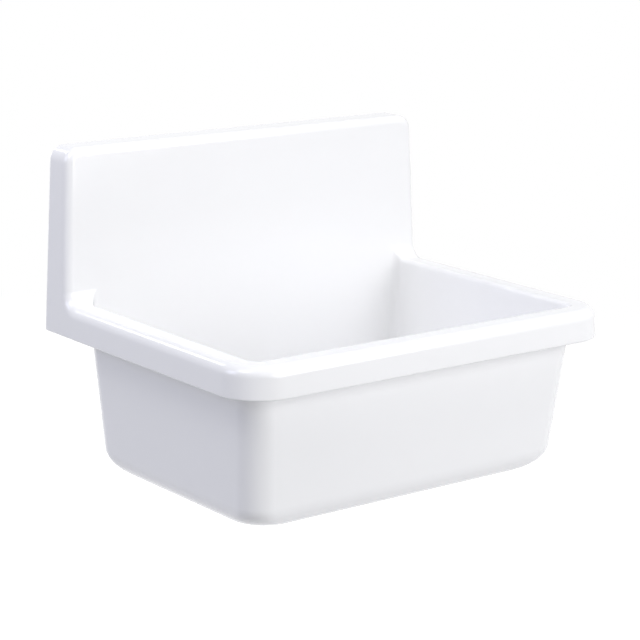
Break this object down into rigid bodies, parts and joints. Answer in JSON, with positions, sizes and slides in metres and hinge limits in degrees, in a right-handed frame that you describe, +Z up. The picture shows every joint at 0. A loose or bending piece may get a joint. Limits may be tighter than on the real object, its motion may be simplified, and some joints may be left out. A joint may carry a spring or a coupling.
{
  "type": "mop service sink",
  "caption": "Wall-hung glazed fireclay mop sink with a deep tapered basin, flat rim and apron, blank splashback, lift-out strainer, threaded outlet and concealed wall hanger.",
  "frame": {"origin": "on the wall plane, on the sink's centre line, at the level of the rim's top", "axes": "+X along the wall, +Y into the wall (the front faces -Y), +Z up"},
  "size_m": [0.61, 0.518, 0.4824],
  "materials": {
    "white_glaze": "glossy white glaze over fireclay",
    "polished_steel": "polished",
    "brushed_steel": "brushed",
    "black_rubber": "matt",
    "fibre": "matt pressed fibre",
    "cast_zinc": "as cast",
    "galvanised_steel": "hot-dip galvanised",
    "zinc_plate": "zinc plated"
  },
  "bodies": {
    "sink": {"sink_body": "white_glaze", "drain_body": "polished_steel", "flange_seal": "black_rubber", "drain_gasket": "black_rubber", "friction_ring": "fibre", "drain_locknut": "cast_zinc", "wall_hanger": "galvanised_steel", "hanger_washers": "zinc_plate", "hanger_screws": "zinc_plate"},
    "strainer": {"strainer_grid": "brushed_steel", "lift_knob": "polished_steel", "knob_washer": "brushed_steel", "knob_nut": "brushed_steel"}
  },
  "joints": [
    {"name": "strainer_lift", "type": "slide", "parent": "sink", "child": "strainer", "axis": [0, 0, 1], "range_m": [0, 0.25]}
  ]
}
